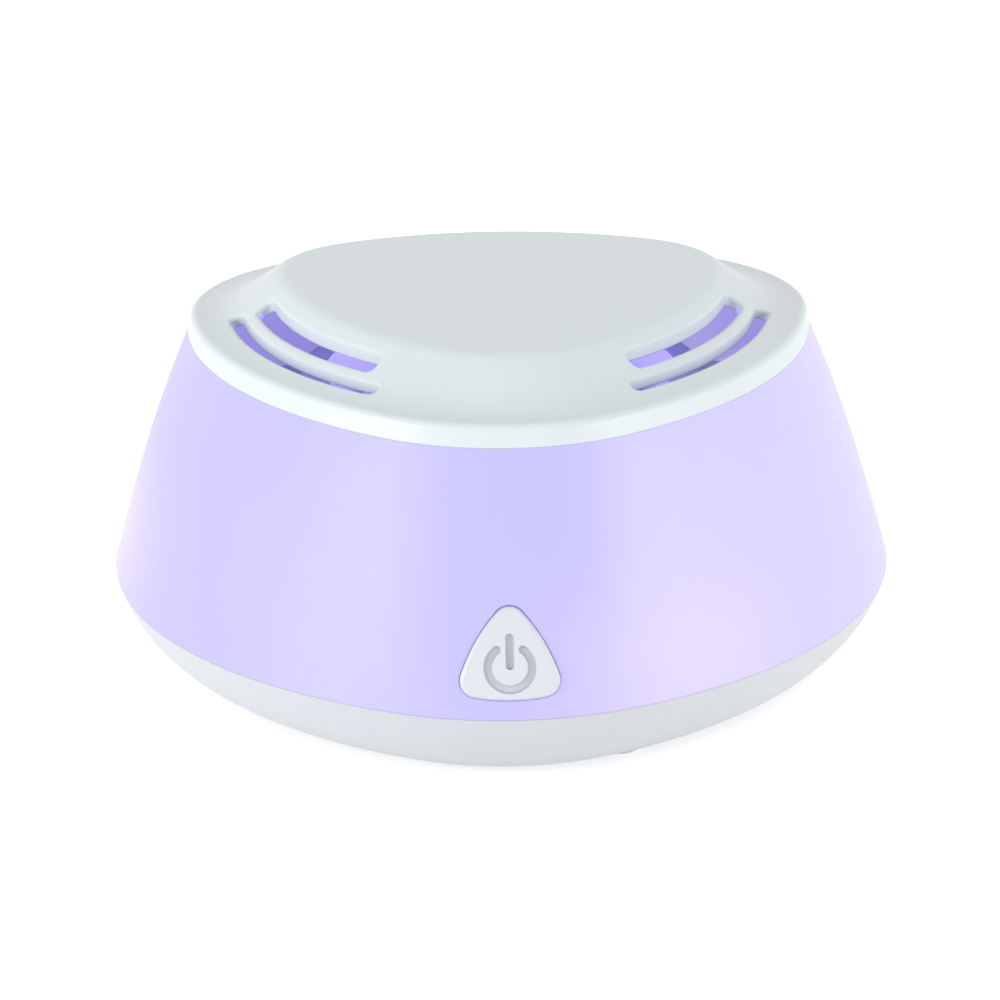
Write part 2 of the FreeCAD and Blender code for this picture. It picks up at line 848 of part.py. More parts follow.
def lid_surface(inset):
    """Height of the lid's top surface at a distance inside its outline."""
    angle = math.radians(size("slope_angle").value)
    blend, crest = size("slope_blend").value, size("plateau_edge").value
    low, high = size("rim_level").value, size("plateau_level").value
    run = inset - size("ledge_width").value
    if run <= 0:
        return low
    if run < blend * math.sin(angle):
        return low + blend - math.sqrt(blend ** 2 - run ** 2)
    rise = high - low - (blend + crest) * (1 - math.cos(angle))
    brow = rise / math.tan(angle) + (blend + crest) * math.sin(angle)
    if run > brow:
        return high
    if run > brow - crest * math.sin(angle):
        return high - crest + math.sqrt(crest ** 2 - (brow - run) ** 2)
    straight = run - blend * math.sin(angle)
    return low + blend * (1 - math.cos(angle)) + straight * math.tan(angle)


# ---------------------------------------------------------------- power button

def lean_placement():
    """The button's own frame: +Z straight out of the shade, +Y up its slope."""
    spot = Vector(0, (AXIS_Y - button_reach()).value, size("button_level").value)
    return Placement(spot, Rotation(Vector(1, 0, 0), 90 - size("lean").value))


def local_place(item, x, y, z, turn=Rotation()):
    """Place a primitive by its corner or lower centre, in the button's own frame."""
    spot = (x, y, z)
    item.Placement = Placement(Vector(*[value_of(amount) for amount in spot]), turn)
    for axis, amount in zip("xyz", spot):
        if isinstance(amount, Size):
            item.setExpression(f"Placement.Base.{axis}", amount.text)
    return item


def leaned(item):
    """Move a solid from the button's own frame to its place in the diffuser."""
    item.recompute()
    spot = item.Placement
    item.setExpression("Placement.Base.x", None)
    item.setExpression("Placement.Base.y", None)
    item.setExpression("Placement.Base.z", None)
    item.Placement = lean_placement().multiply(spot)
    return item


def local_cylinder(name, radius, height, x, y, z):
    item = doc.addObject("Part::Cylinder", name)
    bind(item, "Radius", radius)
    bind(item, "Height", height)
    return local_place(item, x, y, z)


def local_box(name, length, width, height, x, y, z):
    item = doc.addObject("Part::Box", name)
    for side, amount in (("Length", length), ("Width", width), ("Height", height)):
        bind(item, side, amount)
    return local_place(item, x - length * 0.5, y - width * 0.5, z)


CAP_FOOT = size("button_crown") - size("button_depth")
FLANGE_FOOT = CAP_FOOT - size("flange_depth")
STEM_FOOT = FLANGE_FOOT - size("stem_length")
SWITCH_TOP = STEM_FOOT - size("press_travel") - 0.1
BOARD_TOP = SWITCH_TOP - size("switch_depth")


def make_symbol():
    """The generic power sign as a cutter: an open ring and a bar, both with round ends."""
    stroke = size("symbol_outer") - size("symbol_inner")
    middle = (size("symbol_outer") + size("symbol_inner")) * 0.5
    half = size("symbol_gap_half")
    centre = -size("symbol_drop")
    floor = size("button_crown") - size("symbol_depth")
    height = size("button_depth")
    gap = local_cylinder("symbol_gap", size("symbol_outer") * 2, height * 2, 0, centre, floor - height * 0.5)
    bind(gap, "Angle", half * 2)
    gap.Placement.Rotation = Rotation(Vector(0, 0, 1), 90 - half.value)
    disc = local_cylinder("symbol_disc", size("symbol_outer"), height, 0, centre, floor)
    hole = local_cylinder("symbol_hole", size("symbol_inner"), height, 0, centre, floor)
    ring = cut("symbol_open_ring", disc, hole, gap)
    solids = [ring]
    for number, direction in enumerate((1, -1)):
        solids.append(local_cylinder(f"symbol_ring_end_{number}", stroke * 0.5, height,
                                     middle * sine(half) * direction, centre + middle * cosine(half), floor))
    low = centre + size("symbol_bar_foot") + stroke * 0.5
    high = centre + size("symbol_bar_top") - stroke * 0.5
    for number, y in enumerate((low, high)):
        solids.append(local_cylinder(f"symbol_bar_end_{number}", stroke * 0.5, height, 0, y, floor))
    solids.append(local_box("symbol_bar", stroke, high - low, height, 0, (low + high) * 0.5, floor))
    return fuse("power_symbol", *solids)


def make_power_button():
    """A crowned cap with a generic power symbol, and the flange and stem behind it."""
    body = doc.addObject("PartDesign::Body", "cap_block")
    outline = new_sketch(body, "cap_outline", lifts=[("z", CAP_FOOT)])
    draw_triangle(outline, size("button_corner"), size("button_side"), size("button_radius"), 90)
    pad = feature(body, "PartDesign::Pad", "cap_pad", Profile=outline)
    bind(pad, "Length", size("button_depth") + 1)
    crown = doc.addObject("Part::Sphere", "cap_crown")
    bind(crown, "Radius", size("button_dome"))
    local_place(crown, 0, 0, size("button_crown") - size("button_dome"))
    cap = doc.addObject("Part::Common", "cap_crowned")
    cap.Base = body
    cap.Tool = crown
    soft = rounded("cap_softened", cap, size("button_edge"), crown_rim)
    marked = cut("cap_marked", soft, make_symbol())
    flange = local_box("button_flange", size("flange_width"), size("flange_height"), size("flange_depth"),
                       0, size("flange_rise"), FLANGE_FOOT)
    stem = local_cylinder("button_stem", size("stem_radius"), size("stem_length"), 0, 0, STEM_FOOT)
    button = fuse("power_button", marked, flange, stem)
    button.Placement = lean_placement()
    plunger = local_cylinder("switch_plunger", size("plunger_radius"), size("plunger_length"),
                             0, 0, STEM_FOOT - size("plunger_length"))
    keep(leaned(plunger), "switch_plunger")
    return keep(button, "power_button")


def crown_rim(edge):
    """True for the edges between the cap's crown and its sides."""
    return edge.BoundBox.ZMin > -size("button_crown").value * 2 and edge.BoundBox.DiagonalLength > 1


def make_button_frame():
    """A bonded bracket: a guide for the stem, and four posts that carry the switch board."""
    guide_top = FLANGE_FOOT - size("press_travel") - 0.3
    plate_top = guide_top - 0.8
    thick = size("guide_thick")
    width = size("guide_width")
    rise = size("guide_rise")
    plate = local_box("guide_plate", width, size("guide_height"), thick, 0, rise, plate_top - thick)
    collar = local_cylinder("guide_collar", size("guide_collar"), guide_top - plate_top + SINK,
                            0, 0, plate_top - SINK)
    solids = [plate, collar]
    leg = size("board_leg")
    leg_x = size("button_board_width") * 0.5 - leg - 0.1
    leg_y = size("button_board_height") * 0.5 - leg - 0.4
    for number, (x, y) in enumerate([(leg_x, leg_y), (-leg_x, leg_y), (-leg_x, -leg_y), (leg_x, -leg_y)]):
        solids.append(local_cylinder(f"board_leg_{number}", leg, plate_top - thick + SINK - BOARD_TOP,
                                     x, y, BOARD_TOP))
    for number, direction in enumerate((1, -1)):
        x = (width - size("ear_thick")) * 0.5 * direction
        solids.append(local_box(f"bracket_ear_{number}", size("ear_thick"), size("ear_height"),
                                size("ear_top") - plate_top + SINK, x, 0, plate_top - SINK))
    bore = local_cylinder("stem_bore", size("stem_radius") + size("stem_clearance"), thick * 4,
                          0, 0, plate_top - thick * 2)
    frame = cut("button_frame", fuse("bracket", *solids), bore)
    thick = size("board_thick")
    board = local_box("button_board", size("button_board_width"), size("button_board_height"), thick,
                      0, 0, BOARD_TOP - thick)
    side = size("switch_size")
    case = local_box("switch_case", side, side, size("switch_depth"), 0, 0, BOARD_TOP)
    pit = local_cylinder("plunger_pit", size("plunger_radius") + 0.08, 2, 0, 0, SWITCH_TOP - 1.2)
    switch = cut("tact_switch", case, pit)
    for item, node in ((frame, "button_frame"), (board, "button_board"), (switch, "tact_switch")):
        keep(leaned(item), node)


# ---------------------------------------------------------------- chassis deck, tray and pad

def make_deck():
    body = new_body("deck_body")
    outline = new_sketch(body, "deck_outline", lifts=[("z", DECK)])
    draw_triangle(outline, size("deck_corner"), size("deck_side"), size("deck_radius"))
    pad = feature(body, "PartDesign::Pad", "deck_plate", Profile=outline)
    bind(pad, "Length", size("deck_thick"))
    collar_inner = size("tray_radius") + size("collar_gap")
    collar = tube("tray_collar", collar_inner + size("collar_wall"), collar_inner, size("collar_height"),
                  z=DECK_TOP - SINK)
    foot = size("boss_level")
    legs = [cylinder(f"leg_{number}", size("leg_radius"), DECK - foot + SINK, x, y, foot)
            for number, (x, y) in enumerate(leg_spots())]
    tools = [cylinder("deck_passage", size("deck_hole"), size("deck_thick") * 4, z=DECK - size("deck_thick"))]
    for number, (x, y) in enumerate(leg_spots()):
        tools.append(cylinder(f"leg_bore_{number}", size("screw_radius"), size("screw_length"),
                              x, y, SCREW_SEAT))
    for number, (x, y) in enumerate(fan_holes()):
        tools.append(cylinder(f"fan_screw_bore_{number}", size("fan_screw_radius"), size("fan_screw_bite"),
                              x, y, DECK))
    return keep(cut("mid_deck", fuse("deck_with_legs", body, collar, *legs), fuse("deck_cuts", *tools)),
                "mid_deck")


def tray_profile():
    outer = size("tray_radius")
    inner = outer - size("tray_wall")
    floor = DECK_TOP
    top = DECK_TOP + size("tray_height")
    rim = outer + size("tray_rim")
    rim_foot = top - size("tray_rim_thick")
    return [
        (0, floor),
        (outer, floor),
        (outer, rim_foot),
        (rim, rim_foot),
        (rim, top),
        (inner, top),
        (inner, floor + size("tray_floor")),
        (0, floor + size("tray_floor")),
    ]


def make_tray():
    """A shallow cup with a slotted floor, a rim to lift it by, and a felt pad inside."""
    body = new_body("tray_body")
    section = new_sketch(body, "tray_section", "XZ_Plane")
    draw_profile(section, tray_profile())
    turned = feature(body, "PartDesign::Revolution", "tray_cup", Profile=section,
                     ReferenceAxis=(section, ["V_Axis"]), Angle=360)
    doc.recompute()
    slot = new_sketch(body, "tray_slot_outline", lifts=[("z", DECK_TOP + size("tray_floor") * 2)])
    start, end = size("tray_slot_start"), size("tray_slot_end")
    half, bend = size("tray_slot_half"), -size("tray_slot_round")
    draw_profile(slot, [(start, half, bend), (start, -half), (end, -half, bend), (end, half)])
    pocket = feature(body, "PartDesign::Pocket", "tray_slot", Profile=slot)
    bind(pocket, "Length", size("tray_floor") * 4)
    doc.recompute()
    ring = feature(body, "PartDesign::PolarPattern", "tray_slots", Originals=[pocket],
                   Axis=(plane_of(body, "Z_Axis"), [""]), Angle=360,
                   Occurrences=int(size("tray_slot_count").value))
    body.Tip = ring
    doc.recompute()
    if turned.Shape.Volume - body.Shape.Volume < 300:
        raise ValueError("the tray's slots cut nothing")
    pad = cylinder("pad_disc", size("pad_radius"), size("pad_thick"), z=DECK_TOP + size("tray_floor"))
    keep(rounded("scent_pad", pad, size("pad_edge"), circular), "scent_pad")
    return keep(body, "pad_tray")


# ---------------------------------------------------------------- fan

def fan_holes():
    pitch = size("fan_pitch")
    return [(pitch, pitch), (-pitch, pitch), (-pitch, -pitch), (pitch, -pitch)]


HUB_FOOT = FAN_BOTTOM + 0.8
HUB_TOP = HUB_FOOT + size("hub_height")
STRUT_FOOT = DECK - size("strut_thick")
BEARING_FOOT = HUB_FOOT + size("bearing_lift")


def make_fan_frame():
    """A square frame with a round passage; three struts on top carry the motor's bearing tube."""
    side = size("fan_size")
    block = box("fan_block", side, side, size("fan_height"), z=FAN_BOTTOM)
    soft = rounded("fan_block_corners", block, size("fan_corner"), upright)
    through = size("fan_height") * 1.4
    under = FAN_BOTTOM - size("fan_height") * 0.2
    shell = cut("fan_shell", soft, cylinder("fan_passage", size("fan_bore"), through, z=under))
    thick, width = size("strut_thick"), size("strut_width")
    solids = [shell, cylinder("motor_plate", size("hub_radius"), thick, z=STRUT_FOOT)]
    start = size("hub_radius") - 1
    for number in range(3):
        turn = 15 + 120 * number
        strut = doc.addObject("Part::Box", f"strut_{number}")
        bind(strut, "Length", size("strut_length"))
        bind(strut, "Width", width)
        bind(strut, "Height", thick)
        settle(strut, start * cosine(turn) + width * 0.5 * sine(turn),
               start * sine(turn) - width * 0.5 * cosine(turn), STRUT_FOOT, Rotation(Vector(0, 0, 1), turn))
        solids.append(strut)
    seat = size("bearing_radius")
    tube_length = STRUT_FOOT - BEARING_FOOT + SINK
    solids.append(cylinder("bearing_tube", seat + size("bearing_wall"), tube_length, z=BEARING_FOOT))
    tools = [cylinder("bearing_seat", seat, tube_length, z=BEARING_FOOT - SINK)]
    for number, (x, y) in enumerate(fan_holes()):
        tools.append(cylinder(f"fan_hole_{number}", size("fan_screw_radius") + 0.3, through, x, y, under))
    return keep(cut("fan_frame", fuse("fan_frame_solid", *solids), fuse("fan_frame_cuts", *tools)),
                "fan_frame")


def circular(edge):
    """True for a whole circle."""
    return len(edge.Vertexes) == 1


def upright(edge):
    """True for a straight vertical edge."""
    ends = [vertex.Point for vertex in edge.Vertexes]
    return len(ends) == 2 and math.hypot(ends[0].x - ends[1].x, ends[0].y - ends[1].y) < 1e-6


def make_rotor():
    """Hub cup and seven pitched blades, the steel shaft, and the magnet ring inside the cup."""
    inner = size("hub_radius") - size("hub_wall")
    cup = cut("hub_cup", cylinder("hub_solid", size("hub_radius"), size("hub_height"), z=HUB_FOOT),
              cylinder("hub_hollow", inner, size("hub_height"), z=HUB_FOOT + 1.4))
    blades = []
    count = int(size("blade_count").value)
    chord, thick = size("blade_chord"), size("blade_thick")
    pitch = Rotation(Vector(1, 0, 0), size("blade_pitch").value)
    low = Vector(inner.value, -chord.value / 2, -thick.value / 2)
    middle = HUB_FOOT.value + size("hub_height").value / 2
    for number in range(count):
        blade = doc.addObject("Part::Box", f"blade_{number}")
        bind(blade, "Length", size("blade_length"))
        bind(blade, "Width", chord)
        bind(blade, "Height", thick)
        turn = Rotation(Vector(0, 0, 1), 360 / count * number).multiply(pitch)
        blade.Placement = Placement(turn.multVec(low) + Vector(0, AXIS_Y.value, middle), turn)
        blades.append(blade)
    ring = tube("blade_limits", size("blade_reach"), inner + 0.4, size("hub_height"), z=HUB_FOOT)
    trimmed = doc.addObject("Part::Common", "blades_trimmed")
    trimmed.Base = fuse("blades", *blades)
    trimmed.Tool = ring
    keep(fuse("fan_impeller", cup, trimmed), "fan_impeller")
    keep(cylinder("fan_shaft", size("shaft_radius"), 6.0, z=HUB_FOOT + 1.4), "fan_shaft")
    keep(tube("fan_magnet", inner, inner - size("magnet_thick"), size("magnet_height"), z=HUB_FOOT + 1.6),
         "fan_magnet")


def make_stator():
    """The bearing in its tube, a six-arm core round the tube, and a winding on each arm."""
    bore = size("shaft_radius") + size("shaft_clearance")
    keep(tube("fan_bearing", size("bearing_radius"), bore, size("bearing_length"), z=BEARING_FOOT),
         "fan_bearing")
    level = HUB_FOOT + size("core_lift")
    inside = size("bearing_radius") + size("bearing_wall")
    core_height = size("core_height")
    overhang = (size("winding_height") - core_height) * 0.5
    core = [tube("core_ring", inside + size("core_wall"), inside, core_height, z=level)]
    windings = []
    count = int(size("arm_count").value)
    for number in range(count):
        turn = 360 / count * number
        for kind, length, width, height, start, drop in (
                ("arm", size("arm_length"), size("arm_width"), core_height, inside + 1, 0.0),
                ("winding", size("winding_length"), size("winding_width"), size("winding_height"),
                 inside + 2, overhang)):
            bar = doc.addObject("Part::Box", f"core_{kind}_{number}")
            bind(bar, "Length", length)
            bind(bar, "Width", width)
            bind(bar, "Height", height)
            settle(bar, start * cosine(turn) + width * 0.5 * sine(turn),
                   start * sine(turn) - width * 0.5 * cosine(turn), level - drop,
                   Rotation(Vector(0, 0, 1), turn))
            (core if kind == "arm" else windings).append(bar)
    core_solid = fuse("stator_core", *core)
    coils = cut("stator_windings", fuse("winding_blocks", *windings), core_solid)
    keep(core_solid, "stator_core")
    keep(coils, "stator_windings")


# ---------------------------------------------------------------- screws, duct, power and lights

def screw(name, x, y, seat, length, head, head_height, shank):
    """A pan-head screw that points up, its head under the seat."""
    return fuse(name, cylinder(f"{name}_head", head, head_height, x, y, seat - head_height),
                cylinder(f"{name}_shank", shank, length, x, y, seat))


def make_screws():
    deck_screws = [screw(f"deck_screw_{number}", x, y, SCREW_SEAT, size("screw_length"), size("head_radius"),
                         size("head_height"), size("screw_radius"))
                   for number, (x, y) in enumerate(leg_spots())]
    keep(group("deck_screws", *deck_screws), "deck_screws")
    fan_screws = [screw(f"fan_screw_{number}", x, y, FAN_BOTTOM, size("fan_height") + size("fan_screw_bite"),
                        size("fan_head_radius"), size("fan_head_height"), size("fan_screw_radius"))
                  for number, (x, y) in enumerate(fan_holes())]
    keep(group("fan_screws", *fan_screws), "fan_screws")


def make_duct():
    keep(tube("air_duct", size("duct_radius"), size("duct_radius") - size("duct_wall"),
              FAN_BOTTOM - FLOOR_TOP, z=FLOOR_TOP), "air_duct")


def make_cells():
    """A lithium cell in a saddle on each side of the duct, joined by nickel tabs."""
    radius = size("cell_radius")
    length = size("cell_length")
    axis = FLOOR_TOP + size("cell_lift") + radius
    along = Rotation(Vector(1, 0, 0), -90)
    tabs = []
    for node, direction in (("right", 1), ("left", -1)):
        reach = size("cell_reach") * direction
        cell = cylinder(f"cell_{node}_body", radius, length, reach, length * -0.5, axis, along)
        keep(rounded(f"battery_cell_{node}", cell, size("cell_edge"), circular), f"battery_cell_{node}")
        block = box(f"saddle_block_{node}", size("saddle_width"), size("saddle_length"),
                    size("saddle_height"), reach, 0, FLOOR_TOP)
        hollow = cylinder(f"saddle_hollow_{node}", radius, length * 1.2, reach, length * -0.6, axis, along)
        keep(cut(f"cell_saddle_{node}", block, hollow), f"cell_saddle_{node}")
        thick, height = size("tab_thick"), size("tab_height")
        for end, where in ((1, "rear"), (-1, "front")):
            tabs.append(box(f"tab_{node}_{where}", size("tab_width"), thick, height, reach,
                            (length + thick) * 0.5 * end, axis - height * 0.5))
    keep(group("battery_tabs", *tabs), "battery_tabs")


def make_electronics():
    """The main board with its chip, capacitor and coil, and the charging inlet at the back."""
    top = BOARD_FOOT + size("board_thick")
    keep(box("main_board", size("main_width"), size("main_length"), size("board_thick"),
             0, size("main_reach"), BOARD_FOOT), "main_board")
    keep(box("controller_chip", 5, 5, 0.9, -4.5, 32, top), "controller_chip")
    keep(cylinder("capacitor", 2.5, 6.5, 5.5, 31, top), "capacitor")
    keep(box("power_coil", 5, 5, 3, -5.5, 40, top), "power_coil")
    width, height, depth = size("inlet_width"), size("inlet_height"), size("inlet_depth")
    wall, corner = size("inlet_wall"), size("inlet_corner")
    middle = size("inlet_mouth") - depth * 0.5
    block = box("inlet_block", width, depth, height, 0, middle, top)
    shell = rounded("inlet_rounded", block, corner, along_y)
    hollow = box("inlet_hollow_block", width - wall * 2, depth, height - wall * 2, 0, middle + 1, top + wall)
    keep(cut("power_inlet", shell, rounded("inlet_hollow", hollow, corner - wall, along_y)), "power_inlet")
    length, thick = size("inlet_tongue_length"), size("inlet_tongue_thick")
    keep(box("inlet_tongue", size("inlet_tongue_width"), length, thick, 0,
             size("inlet_mouth") - depth + 1 + length * 0.5, INLET_LEVEL - thick * 0.5), "inlet_tongue")


def along_y(edge):
    """True for a straight edge along Y."""
    box_of = edge.BoundBox
    return box_of.YLength > 1 and box_of.XLength < 1e-6 and box_of.ZLength < 1e-6


def make_lights():
    """A light strip at the middle of each side, with three lamps facing up into the shade."""
    lamps = []
    thick = size("board_thick")
    for side, middle in (("right", -30), ("back", 90), ("left", 210)):
        turn = Rotation(Vector(0, 0, 1), middle)
        for kind, level, height, across, spots, length in (
                ("board", size("strip_level"), thick, size("strip_width"), (0,), size("strip_length")),
                ("lamp", size("strip_level") + thick, size("lamp_height"), size("lamp_width"),
                 (-size("lamp_pitch"), 0, size("lamp_pitch")), size("lamp_length"))):
            for number, along in enumerate(spots):
                item = doc.addObject("Part::Box", f"light_{kind}_{side}_{number}")
                bind(item, "Length", across)
                bind(item, "Width", length)
                bind(item, "Height", height)
                reach = size("strip_reach") - across * 0.5
                low = along - length * 0.5
                settle(item, reach * cosine(middle) - low * sine(middle),
                       reach * sine(middle) + low * cosine(middle), level, turn)
                if kind == "lamp":
                    lamps.append(item)
                else:
                    keep(item, f"light_strip_{side}")
    keep(group("lamps", *lamps), "lamps")


def make_feet():
    feet = []
    for number, (x, y) in enumerate(foot_spots()):
        pad = cylinder(f"foot_{number}", size("foot_radius"), FLOOR + size("foot_recess"), x, y, 0.0)
        feet.append(rounded(f"foot_pad_{number}", pad, size("foot_edge"),
                            lambda edge: circular(edge) and edge.BoundBox.ZMax < 0.01))
    keep(group("foot_pads", *feet), "foot_pads")


# ---------------------------------------------------------------- wires

def make_wire(node, spots, radius=0.6):
    """An insulated lead: straight runs joined by tangent arcs, swept with a round section."""
    points = [Vector(x, y + AXIS_Y.value, z) for x, y, z in spots]
    edges = []
    start = points[0]
    for before, corner, after in zip(points, points[1:], points[2:]):
        arriving = (corner - before).normalize()
        leaving = (after - corner).normalize()
        turn = arriving.getAngle(leaving)
        shorter = min(corner.distanceToPoint(before), corner.distanceToPoint(after))
        bend = 0.45 * shorter / math.tan(turn / 2)
        trim = bend * math.tan(turn / 2)
        arc_start = corner - arriving * trim
        arc_end = corner + leaving * trim
        inward = (leaving - arriving).normalize()
        middle = corner + inward * (bend / math.cos(turn / 2) - bend)
        edges.append(Part.LineSegment(start, arc_start).toShape())
        edges.append(Part.Arc(arc_start, middle, arc_end).toShape())
        start = arc_end
    edges.append(Part.LineSegment(start, points[-1]).toShape())
    path = Part.Wire(edges)
    section = Part.Wire(Part.makeCircle(radius, points[0], points[1] - points[0]))
    wire = doc.addObject("Part::Feature", node)
    wire.Shape = path.makePipeShell([section], True, False)
    ideal = math.pi * radius ** 2 * path.Length
    if abs(wire.Shape.Volume - ideal) > 0.02 * ideal:
        raise ValueError(f"{node} has volume {wire.Shape.Volume:.1f}, not {ideal:.1f}")
    return keep(wire, node)


def make_wires():
    low = FLOOR_TOP.value + 0.8
    make_wire("button_wires", [(5, -49.85, 17.55), (10, -44, 10), (20, -41.5, low), (34, -36.5, low),
                               (43.5, -26, low), (46.3, -10, low), (46.5, 8, low), (43, 24, low),
                               (36, 36.5, low), (24, 40.5, low), (9.6, 40.5, low + 0.2)])
    make_wire("fan_wires", [(14, 25.8, 25), (13.2, 28.5, 17), (11.5, 30, 9), (8.5, 35.5, 7)])
    make_wire("battery_wires", [(-32.5, 25.95, 12), (-27.5, 26.6, 9), (-22, 33, low),
                                (-9.8, 38.5, low + 0.2)])


# ---------------------------------------------------------------- build and write

def check():
    doc.recompute()
    for item in doc.Objects:
        if "Invalid" in item.State or "Error" in item.State:
            raise ValueError(f"{item.Name} failed: {item.State}")
    for node, item in parts.items():
        if item.Shape.isNull() or not item.Shape.isValid() or item.Shape.Volume <= 0:
            raise ValueError(f"{node} has no valid shape")


def main():
    make_base()
    make_shade()
    make_lid()
    make_power_button()
    make_button_frame()
    make_deck()
    make_tray()
    make_fan_frame()
    make_rotor()
    make_stator()
    make_screws()
    make_duct()
    make_cells()
    make_electronics()
    make_lights()
    make_feet()
    make_wires()
    check()
    os.makedirs("parts", exist_ok=True)
    for node, item in parts.items():
        item.Shape.exportStep(f"parts/{node}.step")
        print(f"{node:20s} {len(item.Shape.Solids):2d} solid(s) {item.Shape.Volume:10.1f} mm3")


main()
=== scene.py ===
"""Looks of the essential oil diffuser: a white lid and base, and a softly lit lavender shade."""
import json
import math

import bmesh
import bpy
from mathutils import Matrix, Vector, noise


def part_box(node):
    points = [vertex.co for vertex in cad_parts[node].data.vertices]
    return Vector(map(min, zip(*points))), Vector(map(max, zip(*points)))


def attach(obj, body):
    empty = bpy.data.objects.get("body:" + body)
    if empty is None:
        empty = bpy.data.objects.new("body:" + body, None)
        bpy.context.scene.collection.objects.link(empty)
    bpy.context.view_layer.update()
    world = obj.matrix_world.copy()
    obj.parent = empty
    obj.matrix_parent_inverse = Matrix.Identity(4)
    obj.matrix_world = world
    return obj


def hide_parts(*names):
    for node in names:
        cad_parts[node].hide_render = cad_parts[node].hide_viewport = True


MM = 0.001
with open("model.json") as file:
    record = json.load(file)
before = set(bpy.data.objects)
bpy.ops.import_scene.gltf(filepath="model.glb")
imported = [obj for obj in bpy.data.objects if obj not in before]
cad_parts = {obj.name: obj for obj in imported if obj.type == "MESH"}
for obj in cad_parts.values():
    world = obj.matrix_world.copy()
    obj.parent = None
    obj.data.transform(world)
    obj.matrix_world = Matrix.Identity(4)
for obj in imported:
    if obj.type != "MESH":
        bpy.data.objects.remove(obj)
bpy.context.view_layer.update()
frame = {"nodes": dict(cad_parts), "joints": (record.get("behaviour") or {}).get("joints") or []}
NODES = frame["nodes"]


# ---------------------------------------------------------------- where things are

SHADE_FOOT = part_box("shade")[0].z
FAN_LOW, FAN_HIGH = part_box("fan_bearing")
# Foot of the fan's axis, the middle of the three-cornered outline
AXIS = Vector(((FAN_LOW.x + FAN_HIGH.x) / 2, (FAN_LOW.y + FAN_HIGH.y) / 2, 0))
# Middle of the button's opening, on the shade's front
BUTTON_FACE = Vector((0.0, -60.34, 20.9)) * MM
PRESS = Vector(next(joint["axis"] for joint in frame["joints"] if joint["name"] == "button_press"))


# ---------------------------------------------------------------- shader helpers

def new_material(name):
    material = bpy.data.materials.new(name)
    material.use_nodes = True
    tree = material.node_tree
    tree.nodes.clear()
    output = tree.nodes.new("ShaderNodeOutputMaterial")
    shader = tree.nodes.new("ShaderNodeBsdfPrincipled")
    tree.links.new(shader.outputs["BSDF"], output.inputs["Surface"])
    return material, tree, shader


def add_node(tree, kind, inputs=None, **settings):
    """Add a node; inputs maps a socket's name or number to a value or to another node's output."""
    node = tree.nodes.new(kind)
    for key, value in settings.items():
        setattr(node, key, value)
    for key, value in (inputs or {}).items():
        if isinstance(value, bpy.types.NodeSocket):
            tree.links.new(value, node.inputs[key])
        else:
            node.inputs[key].default_value = value
    return node


def maths(tree, operation, first, second=0.0):
    return add_node(tree, "ShaderNodeMath", {0: first, 1: second}, operation=operation).outputs[0]


def place(tree):
    """Position in the piece's own frame, in metres."""
    return add_node(tree, "ShaderNodeTexCoord").outputs["Object"]


def grain(tree, scale, detail=3.0, roughness=0.5):
    return add_node(tree, "ShaderNodeTexNoise", {"Vector": place(tree), "Scale": scale, "Detail": detail,
                                                 "Roughness": roughness}).outputs["Fac"]


def spread(tree, factor, low, high):
    """Map 0..1 to low..high."""
    node = add_node(tree, "ShaderNodeMapRange", {"Value": factor, "To Min": low, "To Max": high})
    return node.outputs["Result"]


def blend_colours(tree, factor, first, second):
    node = add_node(tree, "ShaderNodeMix", {"Factor": factor}, data_type="RGBA")
    for socket, value in (("A_Color", first), ("B_Color", second)):
        target = next(item for item in node.inputs if item.identifier == socket)
        if isinstance(value, bpy.types.NodeSocket):
            tree.links.new(value, target)
        else:
            target.default_value = (*value, 1.0)
    return next(item for item in node.outputs if item.identifier == "Result_Color")


def surface(tree, shader, edge, texture_scale, texture_depth):
    """Soften the drawn edges and add a fine moulded texture."""
    soft = add_node(tree, "ShaderNodeBevel", {"Radius": edge}, samples=4).outputs["Normal"]
    bump = add_node(tree, "ShaderNodeBump", {"Height": grain(tree, texture_scale), "Normal": soft,
                                             "Strength": 0.25, "Distance": texture_depth})
    tree.links.new(bump.outputs["Normal"], shader.inputs["Normal"])


# Noise scales of moulded plastic, in repeats per metre, and the softening of its edges
FLOW_SCALE = 60.0
GLOSS_SCALE = 400.0
MOULDED_EDGE = 0.25 * MM


def moulded(name, dark, light, gloss=(0.32, 0.42), texture=(2500.0, 0.02 * MM)):
    """Injection-moulded plastic: a slight flow mottle, uneven gloss and a fine texture."""
    material, tree, shader = new_material(name)
    tint = blend_colours(tree, grain(tree, FLOW_SCALE), dark, light)
    tree.links.new(tint, shader.inputs["Base Color"])
    tree.links.new(spread(tree, grain(tree, GLOSS_SCALE), *gloss), shader.inputs["Roughness"])
    surface(tree, shader, MOULDED_EDGE, *texture)
    return material


# Noise stretch that gives fine level lines
LINE_STRETCH = (40.0, 40.0, 900.0)


def metal(name, dark, light, gloss=(0.22, 0.4)):
    """Metal with fine drawn lines along one direction."""
    material, tree, shader = new_material(name)
    lines = add_node(tree, "ShaderNodeMapping", {"Vector": place(tree), "Scale": LINE_STRETCH})
    streak = add_node(tree, "ShaderNodeTexNoise", {"Vector": lines.outputs[0], "Scale": 12.0,
                                                   "Detail": 4.0}).outputs["Fac"]
    tree.links.new(blend_colours(tree, streak, dark, light), shader.inputs["Base Color"])
    tree.links.new(spread(tree, streak, *gloss), shader.inputs["Roughness"])
    shader.inputs["Metallic"].default_value = 1.0
    bump = add_node(tree, "ShaderNodeBump", {"Height": streak, "Strength": 0.15, "Distance": 0.02 * MM})
    tree.links.new(bump.outputs["Normal"], shader.inputs["Normal"])
    return material


# ---------------------------------------------------------------- the lit shade

